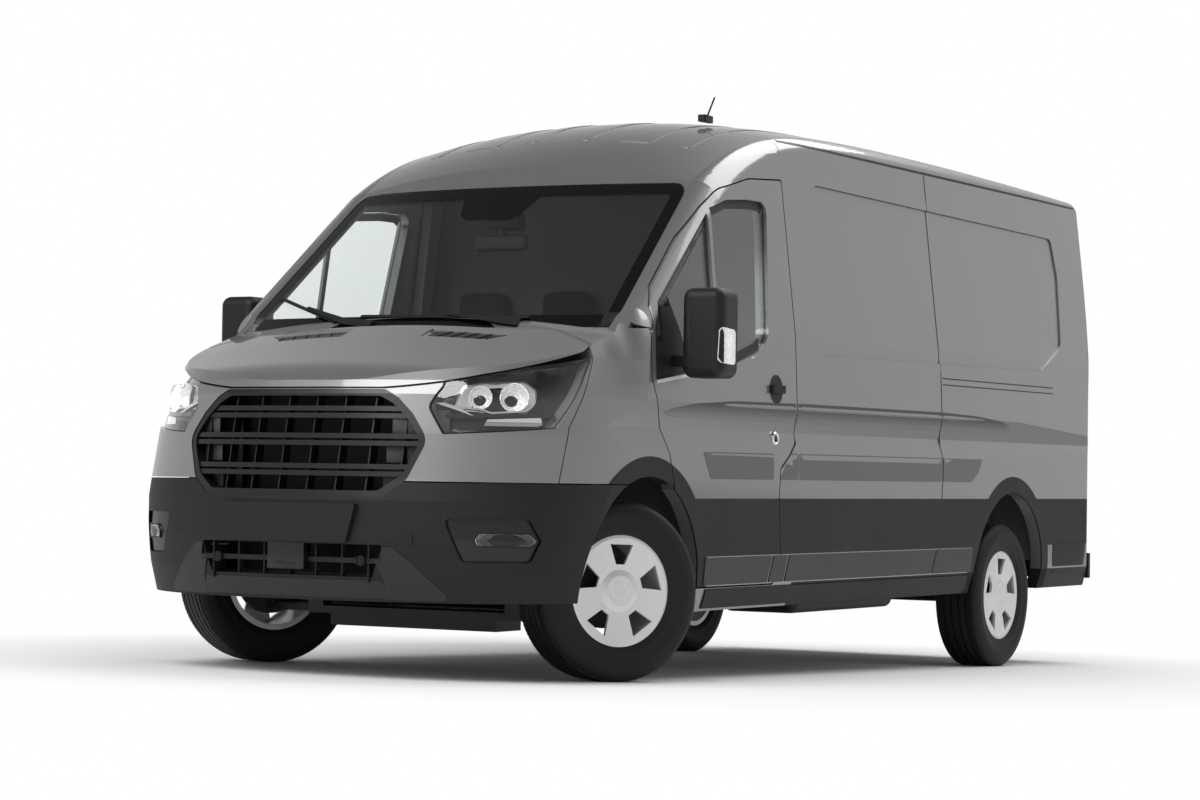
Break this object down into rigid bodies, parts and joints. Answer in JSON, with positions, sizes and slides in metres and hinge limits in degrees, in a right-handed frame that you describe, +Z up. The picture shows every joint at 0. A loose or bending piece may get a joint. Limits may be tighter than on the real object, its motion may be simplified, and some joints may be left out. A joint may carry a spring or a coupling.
{
  "type": "panel van",
  "caption": "Long panel van with a short sloping bonnet, medium roof, hollow cab and load space, opening doors and bonnet, steered front wheels and rolling wheels",
  "frame": {"origin": "on the ground under the middle of the bounding box", "axes": "+X is the vehicle's left side, -Y is the front, +Z is up; the body rakes nose-down by 1.8 degrees, as the empty van stands"},
  "size_m": [2.474, 5.9818, 2.5462],
  "materials": {
    "paint": "satin metallic paint",
    "cladding": "grained moulded plastic",
    "window": "tinted glass",
    "lamp_clear": "clear moulded lens",
    "lamp_red": "red moulded lens",
    "grille_plastic": "satin moulded plastic",
    "trim": "grained moulded plastic",
    "seat_cloth": "woven cloth",
    "liner": "satin paint",
    "chassis_black": "satin black paint",
    "raw_iron": "as cast",
    "core_aluminium": "brazed",
    "pipe_steel": "dull",
    "tank_plastic": "blown plastic",
    "wheel_silver": "silver paint",
    "tyre_rubber": "moulded rubber"
  },
  "bodies": {
    "van_body": {"windscreen": "window", "cab_frame": "paint", "cab_roof": "paint", "load_roof": "paint", "side_panel_left": "paint", "side_panel_right": "paint", "sliding_door": "paint", "side_cladding_left": "cladding", "side_cladding_right": "cladding", "front_wings": "paint", "arch_bands": "cladding", "front_panel": "paint", "headlamps": "lamp_clear", "front_bumper": "cladding", "fog_lamps": "lamp_clear", "grille": "grille_plastic", "tail_lamps": "lamp_red", "rear_bumper": "cladding", "aerial": "trim", "load_floor": "liner", "cab_floor": "liner", "bulkhead": "liner", "dashboard": "trim", "driver_seat": "seat_cloth", "passenger_bench": "seat_cloth", "engine_block": "raw_iron", "radiator": "core_aluminium", "front_rails": "chassis_black", "chassis_frame": "chassis_black", "front_subframe": "chassis_black", "rear_axle": "chassis_black", "fuel_tank": "tank_plastic", "spare_wheel": "tyre_rubber", "exhaust": "pipe_steel"},
    "bonnet_lid": {"bonnet": "paint"},
    "front_door_left_leaf": {"front_door_left": "paint", "door_glass_left": "window", "door_cladding_left": "cladding", "mirror_left": "cladding"},
    "front_door_right_leaf": {"front_door_right": "paint", "door_glass_right": "window", "door_cladding_right": "cladding", "mirror_right": "cladding"},
    "rear_door_left_leaf": {"rear_door_left": "paint"},
    "rear_door_right_leaf": {"rear_door_right": "paint"},
    "hub_carrier_left": {"knuckle_left": "raw_iron"},
    "hub_carrier_right": {"knuckle_right": "raw_iron"},
    "front_left_wheel": {"tyre_front_left": "tyre_rubber", "wheel_front_left": "wheel_silver"},
    "front_right_wheel": {"tyre_front_right": "tyre_rubber", "wheel_front_right": "wheel_silver"},
    "rear_left_wheel": {"tyre_rear_left": "tyre_rubber", "wheel_rear_left": "wheel_silver"},
    "rear_right_wheel": {"tyre_rear_right": "tyre_rubber", "wheel_rear_right": "wheel_silver"},
    "rack": {"steering_rack": "pipe_steel"},
    "hand_wheel": {"steering_wheel": "trim"}
  },
  "joints": [
    {"name": "steer_left", "type": "hinge", "parent": "van_body", "child": "hub_carrier_left", "pos_m": [0.79, -1.9579, 0.356], "axis": [0, 0, 1], "range_deg": [-8, 66]},
    {"name": "steer_right", "type": "hinge", "parent": "van_body", "child": "hub_carrier_right", "pos_m": [-0.79, -1.9579, 0.356], "axis": [0, 0, 1], "range_deg": [-9, 67]},
    {"name": "roll_front_left", "type": "hinge", "parent": "hub_carrier_left", "child": "front_left_wheel", "pos_m": [0.85647, -1.99475, 0.356], "axis": [0.8746, -0.4848, 0], "continuous": true},
    {"name": "roll_front_right", "type": "hinge", "parent": "hub_carrier_right", "child": "front_right_wheel", "pos_m": [-0.85647, -1.92106, 0.356], "axis": [0.8746, -0.4848, 0], "continuous": true},
    {"name": "roll_rear_left", "type": "hinge", "parent": "van_body", "child": "rear_left_wheel", "pos_m": [0.866, 1.7921, 0.356], "axis": [1, 0, 0], "continuous": true},
    {"name": "roll_rear_right", "type": "hinge", "parent": "van_body", "child": "rear_right_wheel", "pos_m": [-0.866, 1.7921, 0.356], "axis": [1, 0, 0], "continuous": true},
    {"name": "rack_slide", "type": "slide", "parent": "van_body", "child": "rack", "axis": [1, 0, 0], "range_m": [-0.1165, 0.0152]},
    {"name": "steering_wheel_turn", "type": "hinge", "parent": "van_body", "child": "hand_wheel", "pos_m": [0.47, -1.43859, 1.26176], "axis": [0, 0.7683, 0.6401], "range_deg": [-140, 1126]},
    {"name": "bonnet_hinge", "type": "hinge", "parent": "van_body", "child": "bonnet_lid", "pos_m": [0, -2.13606, 1.42493], "axis": [-1, 0, 0], "range_deg": [0, 60]},
    {"name": "front_door_left_hinge", "type": "hinge", "parent": "van_body", "child": "front_door_left_leaf", "pos_m": [1.0295, -1.96563, 1.00007], "axis": [0, 0.0314, -0.9995], "range_deg": [0, 70]},
    {"name": "front_door_right_hinge", "type": "hinge", "parent": "van_body", "child": "front_door_right_leaf", "pos_m": [-1.0295, -1.96563, 1.00007], "axis": [0, -0.0314, 0.9995], "range_deg": [0, 70]},
    {"name": "rear_door_left_hinge", "type": "hinge", "parent": "van_body", "child": "rear_door_left_leaf", "pos_m": [0.868, 2.90153, 1.45318], "axis": [0, 0.0314, -0.9995], "range_deg": [0, 180]},
    {"name": "rear_door_right_hinge", "type": "hinge", "parent": "van_body", "child": "rear_door_right_leaf", "pos_m": [-0.868, 2.90153, 1.45318], "axis": [0, -0.0314, 0.9995], "range_deg": [0, 180]}
  ],
  "couplings": [
    {"joint": "steer_right", "follows": "steer_left", "ratio": 1},
    {"joint": "rack_slide", "follows": "steer_left", "m_per_rad": -0.1},
    {"joint": "steering_wheel_turn", "follows": "steer_left", "ratio": 17}
  ]
}
